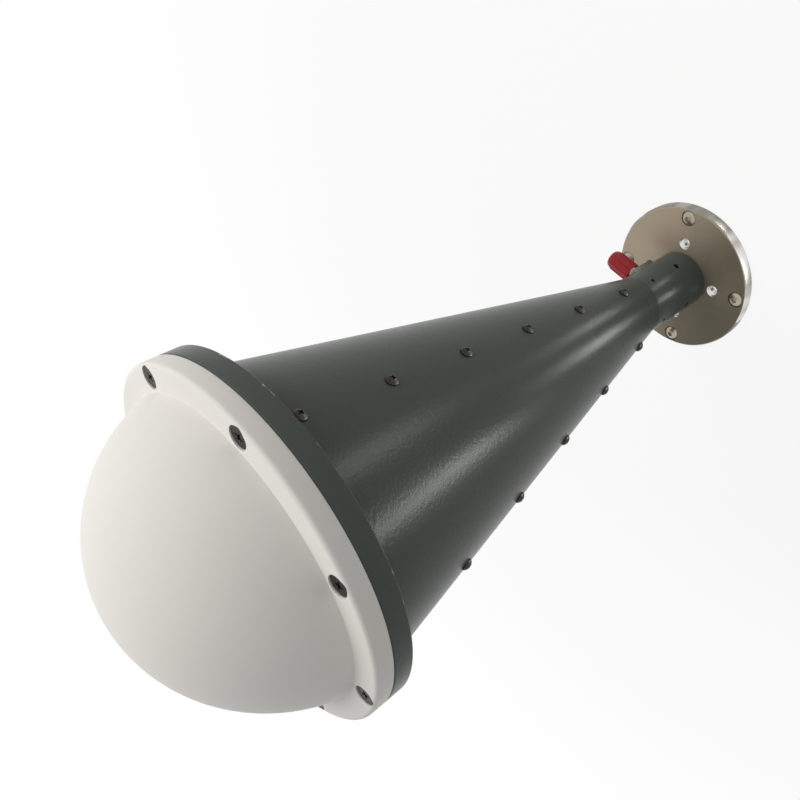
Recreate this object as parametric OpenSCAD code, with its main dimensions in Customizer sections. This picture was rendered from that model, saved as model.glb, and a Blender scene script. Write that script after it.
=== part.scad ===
// Conical horn antenna with four tapered ridges, two coaxial feeds at right angles, and a domed lens.
// It stands on its mounting flange: Z runs along the boresight, X and Y along the two feeds.

/* [Mounting flange] */
// Diameter of the mounting flange
rear_flange_d = 60; // [56:0.5:80]
// Thickness of the mounting flange
rear_flange_t = 5.7; // [5:0.1:8]
// Chamfer round both edges of the mounting flange
rear_edge_chamfer = 0.7; // [0.2:0.1:0.9]
// Diameter of the circle of through holes
mount_circle_d = 31; // [30:0.5:35]
// Diameter of each through hole
mount_hole_d = 4.3; // [3.2:0.1:5]
// Number of through holes, and of screws near the rim
mount_hole_count = 4; // [3:1:6]
// Distance from the rim to the middle of the screws near it
rim_screw_inset = 4; // [4:0.1:6]
// Depth of the seats that those screws stand in
rim_seat_depth = 0.6; // [0.3:0.1:1.2]
// Angle of both circles from the first feed
flange_turn = 19; // [0:1:45]

/* [Feed neck] */
// Outer diameter of the neck
neck_d = 22.9; // [22.5:0.1:25]
// Length of the neck, from the mounting flange to the seam
neck_len = 31.8; // [29:0.2:40]
// Diameter of the bore that the ridges stand in
bore_d = 14.5; // [13.5:0.1:15]
// Distance from the mounting flange to the face of the plug that closes the bore
back_short_len = 3.3; // [2:0.1:5]
// Depth that the plug reaches into the mounting flange
back_short_pocket = 2.5; // [1:0.1:3]
// Distance from a connector's flange to the end of the cone's sleeve
sleeve_clearance = 0.65; // [0.3:0.05:2]
// Distance between the axes of the two feeds
feed_spacing = 3; // [2:0.1:3.5]
// Distance from the mounting flange to the screws that lock the ridges
ridge_lock_height = 10.3; // [7.5:0.1:12]
// Distance from the seam to the screws that lock the cone
cone_lock_inset = 5.2; // [2.5:0.1:5.2]

/* [Cone] */
// Length of the cone, from the seam to the aperture flange
cone_len = 163.9; // [140:0.5:200]
// Outer diameter of the cone where it meets the aperture flange
cone_end_d = 93.8; // [70:0.2:130]
// Thickness of the wall at the wide end of the cone
cone_wall = 2.1; // [1.5:0.1:2.6]
// Length of the sleeve that slides into the neck
spigot_len = 8; // [6:0.1:10]
// Thickness of the wall of that sleeve
spigot_wall = 1.9; // [1.4:0.1:2.1]
// How far the aperture flange stands out round the cone
aperture_rim_w = 6.6; // [6:0.1:12]
// Thickness of the aperture flange
aperture_flange_t = 5.9; // [5:0.1:9]
// Chamfer along both edges of the aperture flange
aperture_edge_chamfer = 0.4; // [0.2:0.1:1]

/* [Ridges] */
// Thickness of each ridge
ridge_t = 4; // [3.4:0.1:4.4]
// Distance from the axis to the ridges' tips in the throat
throat_half_gap = 1; // [0.8:0.05:1.3]
// Distance from the axis to the point where the bevels of a tip would meet
bevel_point = 0.35; // [0.2:0.05:0.5]
// Distance from the mounting flange to the ridges' rear ends
ridge_start = 6.3; // [5.8:0.1:7.5]
// Distance from the aperture flange's face to the ridges' front ends
ridge_end_inset = 4.3; // [4.2:0.1:6]
// Height of a ridge at its front end
ridge_end_height = 6; // [5:0.5:10]
// How sharply the taper opens towards the aperture
taper_rate = 3.6; // [3:0.1:4.2]
// Number of screws along each ridge
ridge_screw_count = 6; // [4:1:8]
// Distance from the seam to the first screw of a row
first_screw_inset = 15.9; // [10:0.1:20]
// Distance from the last screw of a row to the aperture flange
last_screw_inset = 4.5; // [4:0.1:12]

/* [Lens] */
// Thickness of the lens's ring
lens_ring_t = 5.95; // [5:0.05:8]
// Height of the dome above the ring
dome_height = 34.29; // [10:0.01:45]
// Width of the flat ring round the dome
lens_land_w = 7.5; // [6.8:0.1:14]
// Radius of the ring's front edge
lens_edge_r = 1.3; // [0.5:0.1:1.8]
// Length of the step that centres the lens in the aperture
lens_step = 3; // [1:0.1:3]
// Number of lens screws
lens_screw_count = 8; // [6:1:12]
// Distance from the ring's rim to the middle of the lens screws
lens_screw_inset = 3.65; // [3.6:0.05:4.2]
// Depth of the lens screws' heads below the ring's face
lens_screw_sink = 0.45; // [0.2:0.05:0.8]

/* [Connectors] */
// Width of a connector's square flange
jack_flange_w = 12.7; // [12.5:0.1:13]
// Thickness of a connector's flange
jack_flange_t = 1.6; // [1.3:0.1:2]
// Distance between the holes of a connector's flange
jack_hole_spacing = 8.64; // [8.5:0.02:8.9]
// Outer diameter of a connector's threaded barrel
jack_barrel_d = 6.35; // [6.1:0.05:6.5]
// Length of the barrel
jack_barrel_len = 9.5; // [8.5:0.1:10]
// Diameter of the insulator in the barrel
insulator_d = 4.1; // [3.6:0.1:4.4]
// Length of the plain root of the barrel
jack_root_len = 1.2; // [0.8:0.1:1.6]
// Depth of that root below the thread
jack_root_depth = 0.5; // [0.3:0.05:0.7]
// Chamfer at both ends of the thread
jack_barrel_tip = 0.4; // [0.2:0.1:0.6]
// Diameter of the centre contact
contact_d = 1.27; // [1.1:0.01:1.4]
// Depth of the bore in the centre contact
contact_bore_len = 2.5; // [1.5:0.1:4]
// Diameter of the probe that crosses the throat
probe_d = 0.9; // [0.7:0.05:1]
// Diameter of the holes that the probes pass through in the neck and in a ridge
coax_hole_d = 2.1; // [1.7:0.05:2.2]
// Depth that a probe reaches into the opposite ridge
probe_grip = 2.5; // [1:0.1:3]

/* [Dust caps] */
// Outer diameter of a cap over its ribs
cap_d = 8.4; // [8.1:0.1:9]
// Length of a cap
cap_len = 11.5; // [11:0.1:14]
// Thickness of a cap's end
cap_end_t = 1.2; // [0.8:0.1:1.5]
// Radius of a cap's outer edge
cap_edge_r = 1.1; // [0.6:0.1:1.2]
// Distance from the connector's flange to the cap's mouth
cap_standoff = 1.87; // [1.6:0.01:2.4]
// Number of ribs along a cap
cap_rib_count = 10; // [6:1:14]
// Height of the ribs
cap_rib_h = 0.25; // [0.1:0.05:0.4]
// Width of the ribs
cap_rib_w = 0.9; // [0.5:0.1:1.2]

/* [Screws] */
// Diameter of the screws in the lens and in the mounting flange's rim
screw_3_d = 3; // [2.8:0.1:3.2]
// Length of the lens screws
lens_screw_len = 10; // [9:0.1:10.2]
// Diameter of the screws that hold the neck to the mounting flange
screw_25_d = 2.5; // [2.2:0.1:2.6]
// Length of those screws
neck_screw_len = 10; // [9:0.5:11]
// Diameter of the screws in the ridges and in the connectors
screw_2_d = 2; // [1.8:0.1:2.2]
// Length of the ridge screws below the head
ridge_screw_len = 7; // [6:0.1:8]
// Length of the connector screws below the head
jack_screw_len = 4.2; // [3.6:0.1:4.3]
// Diameter of the screws that lock the ridges
ridge_lock_d = 2.5; // [2.2:0.1:2.8]
// Diameter of the screws that lock the cone
cone_lock_d = 1.6; // [1.4:0.1:2]
// Depth of the locking screws below the neck's surface
lock_sink = 0.5; // [0.2:0.1:1]

/* [Hidden] */
$fn = 96;

// Clearances
seat_gap = 0.02;       // a piece that is pushed into its seat
thread_gap = 0.03;     // a screw in its thread
pass_gap = 0.2;        // a screw through a clearance hole
cap_gap = 0.05;        // a cap round its barrel
ridge_gap = 0.03;      // a ridge against the wall that it stands on
hole_spare = 0.4;      // what a blind hole has beyond its screw
cut = 1;               // how far a cut runs past a face

// Heads, after the standard proportions of each kind of screw
csk_head_ratio = 1.97;
csk_flat_ratio = 0.08;
button_head_ratio = 1.9;
button_height_ratio = 0.55;
pan_head_ratio = 1.9;
pan_height_ratio = 0.7;
recess_w_ratio = 0.22;
recess_span_ratio = 1.05;
recess_depth_ratio = 0.42;
pan_recess_ratio = 0.6;
crown_ratio = 1.15;
hex_ratio = 0.67;
hex_floor_ratio = 0.35;
grub_hex_ratio = 0.5;
jack_head_ratio = 0.85;
contact_bore_ratio = 0.7;
head_relief = 0.25;    // room round a head in its seat

// Levels along the axis
z_neck = rear_flange_t;
z_seam = z_neck + neck_len;
z_feed_1 = z_seam - spigot_len - sleeve_clearance - jack_flange_w / 2;
z_feed_2 = z_feed_1 - feed_spacing;
z_cone_end = z_seam + cone_len;
z_aperture = z_cone_end + aperture_flange_t;
z_ring = z_aperture + lens_ring_t;
z_ridge_start = z_neck + ridge_start;
z_ridge_end = z_aperture - ridge_end_inset;

// Radii
neck_r = neck_d / 2;
bore_r = bore_d / 2;
spigot_r = bore_r + spigot_wall;
cone_end_r = cone_end_d / 2;
aperture_flange_r = cone_end_r + aperture_rim_w;
dome_base_r = aperture_flange_r - lens_land_w;
dome_r = (pow(dome_height, 2) + pow(dome_base_r, 2)) / (2 * dome_height);
lens_screw_r = aperture_flange_r - lens_screw_inset;
neck_screw_r = (neck_r + bore_r) / 2;
rim_screw_r = rear_flange_d / 2 - rim_screw_inset;
outer_slope = (cone_end_r - neck_r) / cone_len;
inner_slope = (cone_end_r - cone_wall - bore_r) / cone_len;
lens_step_r = inner_r(z_aperture - lens_step) - pass_gap;

// Connector places, measured from the axis
flat_r = sqrt(pow(neck_r, 2) - pow(jack_flange_w / 2, 2));
jack_face_r = flat_r + jack_flange_t;
jack_mouth_r = jack_face_r + jack_barrel_len;
cap_mouth_r = jack_face_r + cap_standoff;

ridge_screw_pitch = (cone_len - first_screw_inset - last_screw_inset) / (ridge_screw_count - 1);
cone_tilt = atan(outer_slope);
taper_steps = 40;

// Outer and inner radius of the cone at a level
function outer_r(z) = neck_r + outer_slope * (z - z_seam);
function inner_r(z) = bore_r + inner_slope * max(0, z - z_seam);

// Distance from the axis to a ridge's edge, at a share of the way from the seam to the ridge's end
ridge_end_r = inner_r(z_ridge_end) - ridge_end_height;
function taper_r(share) = throat_half_gap
    + (ridge_end_r - throat_half_gap) * (exp(taper_rate * share) - 1) / (exp(taper_rate) - 1);

// ---------------------------------------------------------------- screws, each with its seat at z = 0

module cross_recess(d, depth) {
    for (turn = [0, 90])
        rotate(turn)
            translate([-d * recess_span_ratio / 2, -d * recess_w_ratio / 2, -depth])
                cube([d * recess_span_ratio, d * recess_w_ratio, depth + cut]);
}

// Countersunk screw: z = 0 is the top of its head, and it points down
module countersunk_screw(d, len) {
    head_r = d * csk_head_ratio / 2;
    flat = d * csk_flat_ratio;
    difference() {
        union() {
            translate([0, 0, -flat]) cylinder(r = head_r, h = flat);
            translate([0, 0, -flat - (head_r - d / 2)]) cylinder(r1 = d / 2, r2 = head_r, h = head_r - d / 2);
            translate([0, 0, -len]) cylinder(d = d, h = len - flat);
        }
        cross_recess(d, d * recess_depth_ratio);
    }
}

// The hole that takes it: clear through the first piece, for a length
module countersunk_seat(d, sink, through) {
    head_r = d * csk_head_ratio / 2;
    flat = d * csk_flat_ratio;
    translate([0, 0, -flat - seat_gap]) cylinder(r = head_r + head_relief / 2, h = sink + flat + cut);
    translate([0, 0, -flat - seat_gap - (head_r - d / 2)])
        cylinder(r1 = d / 2 + head_relief / 2, r2 = head_r + head_relief / 2, h = head_r - d / 2);
    translate([0, 0, -through]) cylinder(d = d + head_relief, h = through);
}

// Round-topped screw: z = 0 is the underside of its head
module domed_screw(d, head_ratio, height_ratio, len, hex = false) {
    head_r = d * head_ratio / 2;
    height = d * height_ratio;
    dome = (pow(head_r, 2) + pow(height, 2)) / (2 * height) * crown_ratio;
    difference() {
        union() {
            intersection() {
                cylinder(r = head_r, h = height);
                translate([0, 0, height - dome]) sphere(r = dome);
            }
            translate([0, 0, -len]) cylinder(d = d, h = len + height / 4);
        }
        if (hex)
            translate([0, 0, height * hex_floor_ratio]) cylinder(d = d * hex_ratio / cos(30), h = height, $fn = 6);
        else
            translate([0, 0, height]) cross_recess(d, height * pan_recess_ratio);
    }
}

// Headless screw: z = 0 is its outer end
module grub_screw(d, len) {
    difference() {
        translate([0, 0, -len]) cylinder(d = d, h = len);
        translate([0, 0, -len / 2]) cylinder(d = d * grub_hex_ratio / cos(30), h = len, $fn = 6);
    }
}

// ---------------------------------------------------------------- places

module on_flange_circle(r) {
    for (i = [0 : mount_hole_count - 1])
        rotate(flange_turn + i * 360 / mount_hole_count) translate([r, 0, 0]) children();
}

module at_neck_screws() {
    for (i = [0 : 3])
        rotate(45 + i * 90) translate([neck_screw_r, 0, 0]) rotate([180, 0, 0]) children();
}

module at_lens_screws() {
    for (i = [0 : lens_screw_count - 1])
        rotate(i * 360 / lens_screw_count)
            translate([lens_screw_r, 0, z_ring - lens_screw_sink]) children();
}

// One row of seats on the cone, along +X, each square to the cone's surface
module along_row() {
    for (i = [0 : ridge_screw_count - 1]) {
        z = z_seam + first_screw_inset + i * ridge_screw_pitch;
        head_r = screw_2_d * pan_head_ratio / 2 + head_relief / 2;
        sag = outer_r(z) - sqrt(pow(outer_r(z), 2) - pow(head_r, 2));
        translate([outer_r(z), 0, z]) rotate([0, 90 + cone_tilt, 0]) translate([0, 0, -sag]) children();
    }
}

module radially(angle, r, z) {
    rotate(angle) translate([r, 0, z]) rotate([0, 90, 0]) children();
}

module at_jack_screws() {
    for (x = [-1, 1], y = [-1, 1])
        translate([x * jack_hole_spacing / 2, y * jack_hole_spacing / 2, 0]) children();
}

// ---------------------------------------------------------------- mounting flange

module rear_flange() {
    disc_r = rear_flange_d / 2;
    c = rear_edge_chamfer;
    color([0.72, 0.68, 0.62]) difference() {
        rotate_extrude()
            polygon([[0, 0], [disc_r - c, 0], [disc_r, c], [disc_r, rear_flange_t - c],
                     [disc_r - c, rear_flange_t], [0, rear_flange_t]]);
        translate([0, 0, rear_flange_t - back_short_pocket]) cylinder(r = bore_r, h = back_short_pocket + cut);
        on_flange_circle(mount_circle_d / 2)
            translate([0, 0, -cut]) cylinder(d = mount_hole_d, h = rear_flange_t + 2 * cut);
        on_flange_circle(rim_screw_r) {
            translate([0, 0, -cut]) cylinder(r = screw_3_d / 2 + thread_gap, h = rear_flange_t + 2 * cut);
            translate([0, 0, rear_flange_t - rim_seat_depth])
                cylinder(r = screw_3_d * button_head_ratio / 2 + head_relief, h = rim_seat_depth + cut);
        }
        at_neck_screws() countersunk_seat(screw_25_d, 0, rear_flange_t + cut);
    }
}

module flange_screws() {
    color([0.85, 0.84, 0.8])
        on_flange_circle(rim_screw_r) translate([0, 0, rear_flange_t - rim_seat_depth])
            domed_screw(screw_3_d, button_head_ratio, button_height_ratio,
                        rear_flange_t - rim_seat_depth - pass_gap, hex = true);
}

module neck_screws() {
    color([0.3, 0.3, 0.3]) at_neck_screws() countersunk_screw(screw_25_d, neck_screw_len);
}

// ---------------------------------------------------------------- feed neck

module launcher_body() {
    color([0.33, 0.36, 0.35]) difference() {
        translate([0, 0, z_neck]) cylinder(r = neck_r, h = neck_len);
        translate([0, 0, z_neck - cut]) cylinder(r = bore_r, h = neck_len + 2 * cut);
        translate([0, 0, z_seam - spigot_len]) cylinder(r = spigot_r + seat_gap, h = spigot_len + cut);
        for (angle = [0, 90]) rotate(angle) jack_seat(angle == 0 ? z_feed_1 : z_feed_2);
        for (angle = [180, 270]) radially(angle, 0, z_neck + ridge_lock_height)
            cylinder(r = ridge_lock_d / 2 + thread_gap, h = neck_d);
        for (angle = [0 : 90 : 270]) radially(angle, 0, z_seam - cone_lock_inset)
            cylinder(r = cone_lock_d / 2 + thread_gap, h = neck_d);
        at_neck_screws() translate([0, 0, -neck_screw_len - hole_spare])
            cylinder(r = screw_25_d / 2 + thread_gap, h = neck_screw_len);
    }
}

// Flat, coaxial hole and screw holes for a connector on +X
module jack_seat(z) {
    translate([flat_r, -neck_r, z - jack_flange_w / 2 - seat_gap])
        cube([neck_r, neck_d, jack_flange_w + 2 * seat_gap]);
    radially(0, 0, z) cylinder(d = coax_hole_d, h = neck_r);
    radially(0, flat_r, z) at_jack_screws() translate([0, 0, jack_flange_t - jack_screw_len - hole_spare / 4])
        cylinder(r = screw_2_d / 2 + thread_gap, h = neck_r);
}

module back_short() {
    color([0.72, 0.73, 0.74])
        translate([0, 0, z_neck - back_short_pocket + seat_gap])
            cylinder(r = bore_r - seat_gap, h = back_short_pocket + back_short_len - seat_gap);
}

module ridge_lock_screws() {
    color([0.12, 0.12, 0.12])
        for (angle = [180, 270]) radially(angle, neck_r - lock_sink, z_neck + ridge_lock_height)
            grub_screw(ridge_lock_d, neck_r - lock_sink - bore_r);
}

module cone_lock_screws() {
    color([0.12, 0.12, 0.12])
        for (angle = [0 : 90 : 270]) radially(angle, neck_r - lock_sink, z_seam - cone_lock_inset)
            grub_screw(cone_lock_d, neck_r - lock_sink - spigot_r - seat_gap);
}

// ---------------------------------------------------------------- cone

module cone() {
    c = aperture_edge_chamfer;
    head_r = screw_2_d * pan_head_ratio / 2 + head_relief / 2;
    color([0.33, 0.36, 0.35]) difference() {
        rotate_extrude()
            polygon([[bore_r, z_seam - spigot_len], [spigot_r, z_seam - spigot_len], [spigot_r, z_seam],
                     [neck_r, z_seam], [cone_end_r, z_cone_end],
                     [aperture_flange_r - c, z_cone_end], [aperture_flange_r, z_cone_end + c],
                     [aperture_flange_r, z_aperture - c], [aperture_flange_r - c, z_aperture],
                     [inner_r(z_aperture), z_aperture], [bore_r, z_seam]]);
        for (angle = [0 : 90 : 270]) rotate(angle) along_row() {
            cylinder(r = head_r, h = screw_2_d);
            translate([0, 0, -ridge_screw_len]) cylinder(r = screw_2_d / 2 + thread_gap, h = ridge_screw_len + cut);
        }
        at_lens_screws() translate([0, 0, -lens_screw_len - hole_spare])
            cylinder(r = screw_3_d / 2 + thread_gap, h = lens_screw_len);
    }
}

// ---------------------------------------------------------------- ridges

// Space inside the neck and the cone, less the ridges' clearance
module ridge_space() {
    r = bore_r - ridge_gap;
    rotate_extrude()
        polygon([[0, z_ridge_start], [r, z_ridge_start], [r, z_seam],
                 [inner_r(z_ridge_end) - ridge_gap, z_ridge_end], [0, z_ridge_end]]);
}

// A ridge on +X: a plate with a tapered edge, its tip bevelled to pass between its neighbours
module ridge_plate() {
    taper = [for (i = [0 : taper_steps])
        let (share = i / taper_steps) [taper_r(share), z_seam + share * (z_ridge_end - z_seam)]];
    reach = aperture_flange_r;
    intersection() {
        ridge_space();
        rotate([90, 0, 0]) linear_extrude(ridge_t, center = true)
            polygon(concat([[throat_half_gap, z_ridge_start]], taper,
                           [[reach, z_ridge_end], [reach, z_ridge_start]]));
        linear_extrude(z_aperture)
            polygon([[bevel_point, 0], [reach, reach - bevel_point], [reach, bevel_point - reach]]);
    }
}

module ridge_on_x() {
    difference() {
        ridge_plate();
        along_row() translate([0, 0, -ridge_screw_len - hole_spare])
            cylinder(r = screw_2_d / 2 + thread_gap, h = ridge_screw_len + cut);
    }
}

module feed_ridge(angle, z) {
    color([0.75, 0.76, 0.77]) rotate(angle) difference() {
        ridge_on_x();
        radially(0, 0, z) cylinder(d = coax_hole_d, h = neck_r);
    }
}

module counter_ridge(angle, z) {
    color([0.75, 0.76, 0.77]) rotate(angle) difference() {
        ridge_on_x();
        radially(0, 0, z) cylinder(r = probe_d / 2 + seat_gap, h = throat_half_gap + probe_grip + hole_spare);
    }
}

module feed_ridge_1() { feed_ridge(0, z_feed_1); }
module counter_ridge_1() { counter_ridge(180, z_feed_1); }
module feed_ridge_2() { feed_ridge(90, z_feed_2); }
module counter_ridge_2() { counter_ridge(270, z_feed_2); }

module ridge_screws() {
    color([0.2, 0.2, 0.2])
        for (angle = [0 : 90 : 270]) rotate(angle) along_row()
            domed_screw(screw_2_d, pan_head_ratio, pan_height_ratio, ridge_screw_len);
}

// ---------------------------------------------------------------- lens

module lens() {
    ring_r = aperture_flange_r;
    c = aperture_edge_chamfer;
    color([0.9, 0.89, 0.87]) difference() {
        union() {
            translate([0, 0, z_aperture - lens_step]) cylinder(r = lens_step_r, h = lens_step + lens_ring_t / 2);
            rotate_extrude() {
                polygon([[0, z_aperture], [ring_r - c, z_aperture], [ring_r, z_aperture + c],
                         [ring_r, z_ring - lens_edge_r], [0, z_ring - lens_edge_r]]);
                translate([0, z_ring - lens_edge_r]) square([ring_r - lens_edge_r, lens_edge_r]);
                translate([ring_r - lens_edge_r, z_ring - lens_edge_r]) circle(lens_edge_r);
            }
            intersection() {
                translate([0, 0, z_ring + dome_height - dome_r]) sphere(r = dome_r);
                translate([0, 0, z_ring - lens_edge_r]) cylinder(r = dome_base_r, h = lens_edge_r + dome_height);
            }
        }
        at_lens_screws() countersunk_seat(screw_3_d, lens_screw_sink, lens_ring_t + cut);
    }
}

module lens_screws() {
    color([0.25, 0.25, 0.25]) at_lens_screws() countersunk_screw(screw_3_d, lens_screw_len);
}

// ---------------------------------------------------------------- connectors

// In these four, z = 0 is the axis of the horn and +Z is the way out of the connector
module jack_body() {
    root_r = jack_barrel_d / 2 - jack_root_depth;
    tip = jack_barrel_tip;
    color([0.78, 0.7, 0.45]) difference() {
        union() {
            translate([-jack_flange_w / 2, -jack_flange_w / 2, flat_r])
                cube([jack_flange_w, jack_flange_w, jack_flange_t]);
            rotate_extrude()
                polygon([[0, flat_r], [root_r, flat_r], [root_r, jack_face_r + jack_root_len],
                         [jack_barrel_d / 2, jack_face_r + jack_root_len + tip], [jack_barrel_d / 2, jack_mouth_r - tip],
                         [jack_barrel_d / 2 - tip, jack_mouth_r], [0, jack_mouth_r]]);
        }
        translate([0, 0, flat_r - cut]) cylinder(d = insulator_d, h = neck_d);
        at_jack_screws() translate([0, 0, flat_r - cut])
            cylinder(d = screw_2_d + pass_gap, h = jack_flange_t + 2 * cut);
    }
}

module jack_insulator() {
    color([0.93, 0.93, 0.9]) translate([0, 0, flat_r + seat_gap]) difference() {
        cylinder(r = insulator_d / 2 - seat_gap, h = jack_mouth_r - flat_r - 2 * pass_gap);
        translate([0, 0, -cut]) cylinder(r = contact_d / 2 + seat_gap, h = neck_d);
    }
}

module probe_pin() {
    color([0.85, 0.68, 0.3]) difference() {
        union() {
            translate([0, 0, flat_r + seat_gap])
                cylinder(d = contact_d, h = jack_mouth_r - flat_r - 2 * pass_gap);
            translate([0, 0, -throat_half_gap - probe_grip])
                cylinder(d = probe_d, h = throat_half_gap + probe_grip + flat_r + cut);
        }
        translate([0, 0, jack_mouth_r - 2 * pass_gap - contact_bore_len]) cylinder(d = contact_d * contact_bore_ratio, h = neck_d);
    }
}

module jack_screws() {
    color([0.7, 0.7, 0.7]) at_jack_screws() translate([0, 0, jack_face_r])
        domed_screw(screw_2_d, pan_head_ratio, pan_height_ratio * jack_head_ratio, jack_screw_len);
}

module dust_cap() {
    wall_r = cap_d / 2 - cap_rib_h;
    color([0.75, 0.05, 0.08]) translate([0, 0, cap_mouth_r]) difference() {
        union() {
            cylinder(r = wall_r, h = cap_len - cap_edge_r);
            rotate_extrude() {
                translate([0, cap_len - cap_edge_r]) square([wall_r - cap_edge_r, cap_edge_r]);
                intersection() {
                    translate([wall_r - cap_edge_r, cap_len - cap_edge_r]) circle(cap_edge_r);
                    translate([0, cap_len - 2 * cap_edge_r]) square([wall_r, 2 * cap_edge_r]);
                }
            }
            for (i = [0 : cap_rib_count - 1]) rotate(i * 360 / cap_rib_count)
                translate([0, -cap_rib_w / 2, 0]) cube([cap_d / 2, cap_rib_w, cap_len - 2 * cap_edge_r]);
        }
        translate([0, 0, -cut]) cylinder(r = jack_barrel_d / 2 + cap_gap, h = cap_len - cap_end_t + cut);
    }
}

module on_feed_1() { radially(0, 0, z_feed_1) children(); }
module on_feed_2() { radially(90, 0, z_feed_2) children(); }

module jack_body_1() { on_feed_1() jack_body(); }
module jack_insulator_1() { on_feed_1() jack_insulator(); }
module probe_pin_1() { on_feed_1() probe_pin(); }
module jack_screws_1() { on_feed_1() jack_screws(); }
module dust_cap_1() { on_feed_1() dust_cap(); }
module jack_body_2() { on_feed_2() jack_body(); }
module jack_insulator_2() { on_feed_2() jack_insulator(); }
module probe_pin_2() { on_feed_2() probe_pin(); }
module jack_screws_2() { on_feed_2() jack_screws(); }
module dust_cap_2() { on_feed_2() dust_cap(); }

rear_flange();
flange_screws();
neck_screws();
launcher_body();
back_short();
cone();
feed_ridge_1();
counter_ridge_1();
feed_ridge_2();
counter_ridge_2();
ridge_screws();
ridge_lock_screws();
cone_lock_screws();
lens();
lens_screws();
jack_body_1();
jack_insulator_1();
probe_pin_1();
jack_screws_1();
dust_cap_1();
jack_body_2();
jack_insulator_2();
probe_pin_2();
jack_screws_2();
dust_cap_2();
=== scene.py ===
"""Conical horn antenna with a domed lens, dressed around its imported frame, and a plain studio to see it in."""

from math import asin, atan, atan2, cos, hypot, pi, radians, sin, sqrt, tan

import bmesh
import bpy
import numpy as np
from bpy.props import FloatProperty, FloatVectorProperty, IntProperty, PointerProperty
from mathutils import Matrix, Vector


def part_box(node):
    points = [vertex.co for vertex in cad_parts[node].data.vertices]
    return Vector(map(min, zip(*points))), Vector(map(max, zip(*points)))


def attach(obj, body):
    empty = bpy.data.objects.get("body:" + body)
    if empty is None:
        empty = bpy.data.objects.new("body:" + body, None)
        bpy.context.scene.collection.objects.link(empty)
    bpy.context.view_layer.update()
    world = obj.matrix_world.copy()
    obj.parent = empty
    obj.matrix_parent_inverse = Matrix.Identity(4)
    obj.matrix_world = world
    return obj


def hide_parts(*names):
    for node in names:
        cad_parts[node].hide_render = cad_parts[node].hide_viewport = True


bl_info = {
    "name": "Horn antenna",
    "version": (1, 0, 0),
    "blender": (4, 5, 0),
    "location": "View3D > Sidebar > Horn antenna",
    "description": "Builds the pieces of a lens horn antenna and the studio it stands in",
    "category": "Object",
}

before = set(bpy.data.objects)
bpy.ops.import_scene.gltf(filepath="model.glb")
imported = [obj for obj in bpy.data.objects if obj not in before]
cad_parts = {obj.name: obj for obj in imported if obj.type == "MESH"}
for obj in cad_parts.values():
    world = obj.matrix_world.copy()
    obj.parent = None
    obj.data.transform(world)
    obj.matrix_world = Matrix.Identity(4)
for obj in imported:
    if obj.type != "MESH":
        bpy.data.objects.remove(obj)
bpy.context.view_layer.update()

MM = 0.001
M2, M2_5, M3 = 2 * MM, 2.5 * MM, 3 * MM
SEGMENTS = 192          # steps round a large turned piece
FINE = 48               # steps round a screw or a barrel
CAP_STEPS = 240         # steps round a cap
CORNER_STEPS = 5        # steps in a rounded corner
DOME_STEPS = 72         # steps from the dome's edge to its top
ROWS_PER_TURN = 8       # rows of points in one turn of a thread
ON_AXIS = 1e-9          # a smaller radius is taken as the axis itself
EXACT = 2e-5            # how far a face may lie from its outline and still belong to it
GAP = 0.02 * MM         # clearance round a part that sits in another

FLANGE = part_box("rear_flange")
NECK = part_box("launcher_body")
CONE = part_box("cone")
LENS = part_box("lens")
CAPS = {1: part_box("dust_cap_1"), 2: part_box("dust_cap_2")}


# ---------------------------------------------------------------- settings

def length(text, value):
    return FloatProperty(name=text, description=text, default=value, min=0.0, precision=5, unit="LENGTH")


def number(text, value, unit="NONE"):
    return FloatProperty(name=text, description=text, default=value, unit=unit)


def count(text, value):
    return IntProperty(name=text, description=text, default=value, min=1)


def angle(text, degrees):
    return FloatProperty(name=text, description=text, default=radians(degrees), subtype="ANGLE")


def vector(text, value, subtype="DIRECTION"):
    return FloatVectorProperty(name=text, description=text, default=value, size=len(value), subtype=subtype)


def colour(text, value):
    return FloatVectorProperty(name=text, description=text, default=value, size=3, min=0.0, max=1.0,
                               subtype="COLOR")


def share(text, value):
    return FloatProperty(name=text, description=text, default=value, min=0.0, max=1.0, subtype="FACTOR")


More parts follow.
